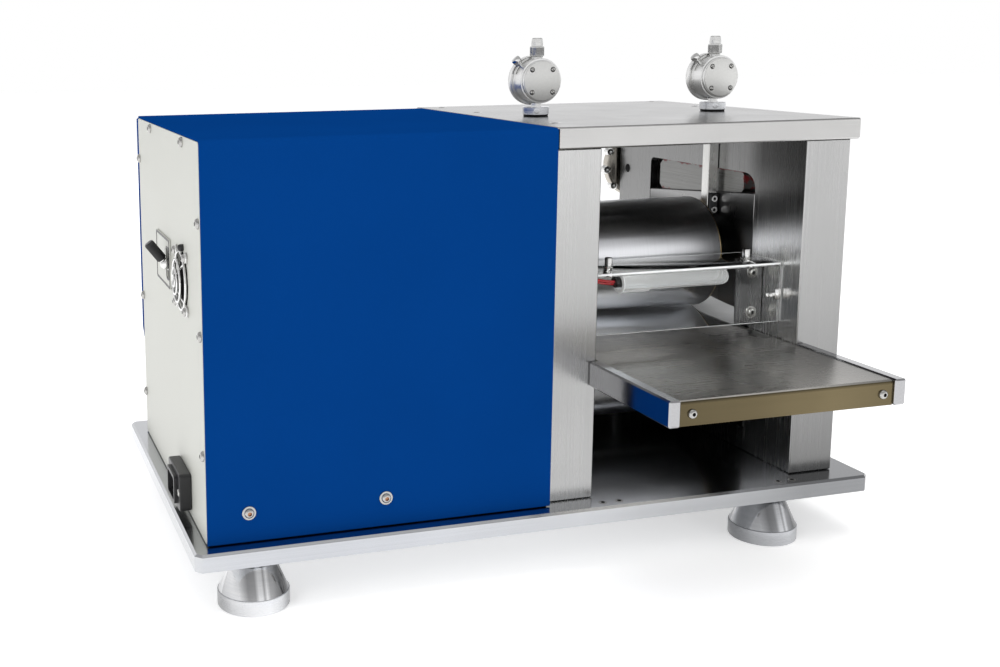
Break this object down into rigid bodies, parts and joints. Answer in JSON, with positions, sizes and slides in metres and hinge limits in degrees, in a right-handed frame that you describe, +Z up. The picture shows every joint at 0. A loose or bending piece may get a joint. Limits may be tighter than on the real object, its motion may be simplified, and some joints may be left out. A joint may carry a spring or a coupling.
{
  "type": "two-roll sheeter",
  "caption": "Compact motor-driven two-roll sheeter with an enclosed drive housing, wedge-set upper roll, two dial gauges, clear guard and feed trays on a levelling-foot base.",
  "frame": {"origin": "centre of the bounding box on the floor plane, under the levelling feet", "axes": "+X along the roll axes from the drive housing to the roll stand, +Y from the feed side to the rear, +Z up"},
  "size_m": [0.5698, 0.4206, 0.4069],
  "materials": {
    "stainless": "fine brushed, partly polished stainless sheet and plate",
    "ground_steel": "surface-ground steel, satin",
    "chrome": "ground and hard-chromed, mirror",
    "blue_paint": "deep blue powder coat, fine texture, semi-gloss",
    "grey_paint": "light grey powder coat, semi-gloss",
    "black_plastic": "moulded, satin",
    "red_plastic": "moulded, gloss",
    "green_plastic": "moulded, gloss",
    "acrylic": "clear polished acrylic with bright sawn edges",
    "dark_steel": "oiled dark steel",
    "satin_aluminium": "satin, turned"
  },
  "bodies": {
    "frame": {"base_plate": "stainless", "foot_front_left": "stainless", "foot_front_right": "stainless", "foot_rear_left": "stainless", "foot_rear_right": "stainless", "left_side_plate": "ground_steel", "right_side_plate": "ground_steel", "top_plate": "stainless", "housing_cover": "blue_paint", "housing_end_panel": "grey_paint", "control_console": "blue_paint", "gearmotor": "dark_steel", "motor_mount": "ground_steel", "power_supply": "satin_aluminium", "power_inlet": "black_plastic", "fan_frame": "black_plastic", "fan_guard": "chrome", "selector_plate": "grey_paint", "lower_block_left": "ground_steel", "lower_block_right": "ground_steel", "lower_bearing_left": "dark_steel", "lower_bearing_right": "dark_steel", "front_tray": "stainless", "tray_rail_left": "stainless", "tray_rail_right": "stainless", "rear_tray": "stainless", "rear_lower_panel": "dark_steel", "guard_shield": "acrylic", "guard_bracket_left": "stainless", "guard_bracket_right": "stainless", "lamp_tube": "acrylic", "lamp_lead": "red_plastic", "dial_collar_left": "stainless", "dial_collar_right": "stainless", "dial_body_left": "satin_aluminium", "dial_body_right": "satin_aluminium"},
    "lower_roll": {"lower_roll": "chrome", "lower_gear": "dark_steel"},
    "drive_pinion": {"drive_pinion": "dark_steel"},
    "upper_carriage": {"upper_block_left": "ground_steel", "upper_block_right": "ground_steel", "upper_bearing_left": "dark_steel", "upper_bearing_right": "dark_steel", "gauge_bar_left": "satin_aluminium", "gauge_bar_right": "satin_aluminium"},
    "upper_roll": {"upper_roll": "chrome", "upper_gear": "dark_steel"},
    "wedge_left": {"wedge_left": "ground_steel"},
    "wedge_right": {"wedge_right": "ground_steel"},
    "adjuster_left": {"adjuster_left": "satin_aluminium"},
    "adjuster_right": {"adjuster_right": "satin_aluminium"},
    "dial_pointer_left": {"dial_pointer_left": "black_plastic"},
    "dial_pointer_right": {"dial_pointer_right": "black_plastic"},
    "fan_rotor": {"fan_rotor": "black_plastic"},
    "selector_lever": {"selector_lever": "black_plastic"},
    "estop_button": {"estop_button": "red_plastic"},
    "start_button": {"start_button": "green_plastic"},
    "stop_button": {"stop_button": "red_plastic"},
    "speed_knob": {"speed_knob": "black_plastic"}
  },
  "joints": [
    {"name": "lower_roll_spin", "type": "hinge", "parent": "frame", "child": "lower_roll", "pos_m": [0.13293, 0.03725, 0.1205], "axis": [1, 0, 0], "continuous": true},
    {"name": "drive_pinion_spin", "type": "hinge", "parent": "frame", "child": "drive_pinion", "pos_m": [-0.01307, -0.03515, 0.1205], "axis": [1, 0, 0], "continuous": true},
    {"name": "adjuster_left_turn", "type": "hinge", "parent": "frame", "child": "adjuster_left", "pos_m": [0.02293, 0.18325, 0.2775], "axis": [0, 1, 0], "range_deg": [0, 1406]},
    {"name": "upper_carriage_lift", "type": "slide", "parent": "frame", "child": "upper_carriage", "axis": [0, 0, 1], "range_m": [0, 0.001]},
    {"name": "upper_roll_spin", "type": "hinge", "parent": "upper_carriage", "child": "upper_roll", "pos_m": [0.13293, 0.03725, 0.2168], "axis": [1, 0, 0], "continuous": true},
    {"name": "wedge_left_slide", "type": "slide", "parent": "frame", "child": "wedge_left", "axis": [0, 1, 0], "range_m": [0, 0.0118]},
    {"name": "wedge_right_slide", "type": "slide", "parent": "frame", "child": "wedge_right", "axis": [0, 1, 0], "range_m": [0, 0.0118]},
    {"name": "adjuster_right_turn", "type": "hinge", "parent": "frame", "child": "adjuster_right", "pos_m": [0.24293, 0.18325, 0.2775], "axis": [0, 1, 0], "range_deg": [0, 1406]},
    {"name": "dial_pointer_left_turn", "type": "hinge", "parent": "frame", "child": "dial_pointer_left", "pos_m": [0.04793, 0.03175, 0.3715], "axis": [0, 1, 0], "range_deg": [0, 361]},
    {"name": "dial_pointer_right_turn", "type": "hinge", "parent": "frame", "child": "dial_pointer_right", "pos_m": [0.21753, 0.03175, 0.3715], "axis": [0, 1, 0], "range_deg": [0, 361]},
    {"name": "fan_rotor_spin", "type": "hinge", "parent": "frame", "child": "fan_rotor", "pos_m": [-0.25657, -0.03375, 0.2315], "axis": [1, 0, 0], "continuous": true},
    {"name": "selector_lever_tilt", "type": "hinge", "parent": "frame", "child": "selector_lever", "pos_m": [-0.26887, 0.02325, 0.2345], "axis": [0, 1, 0], "range_deg": [-100, 0]},
    {"name": "estop_press", "type": "slide", "parent": "frame", "child": "estop_button", "axis": [0, -1, 0], "range_m": [0, 0.004], "stiffness_N_per_m": 2000},
    {"name": "start_press", "type": "slide", "parent": "frame", "child": "start_button", "axis": [0, -1, 0], "range_m": [0, 0.002], "stiffness_N_per_m": 1500},
    {"name": "stop_press", "type": "slide", "parent": "frame", "child": "stop_button", "axis": [0, -1, 0], "range_m": [0, 0.002], "stiffness_N_per_m": 1500},
    {"name": "speed_knob_turn", "type": "hinge", "parent": "frame", "child": "speed_knob", "pos_m": [-0.14707, 0.18355, 0.2005], "axis": [0, 1, 0], "range_deg": [0, 290]}
  ],
  "couplings": [
    {"joint": "drive_pinion_spin", "follows": "lower_roll_spin", "ratio": -2},
    {"joint": "upper_roll_spin", "follows": "lower_roll_spin", "ratio": -1},
    {"joint": "adjuster_left_turn", "follows": "upper_carriage_lift", "rad_per_m": 24504},
    {"joint": "adjuster_right_turn", "follows": "upper_carriage_lift", "rad_per_m": 24504},
    {"joint": "wedge_left_slide", "follows": "upper_carriage_lift", "ratio": 11.7},
    {"joint": "wedge_right_slide", "follows": "upper_carriage_lift", "ratio": 11.7},
    {"joint": "dial_pointer_left_turn", "follows": "upper_carriage_lift", "rad_per_m": 6283.2},
    {"joint": "dial_pointer_right_turn", "follows": "upper_carriage_lift", "rad_per_m": 6283.2}
  ]
}
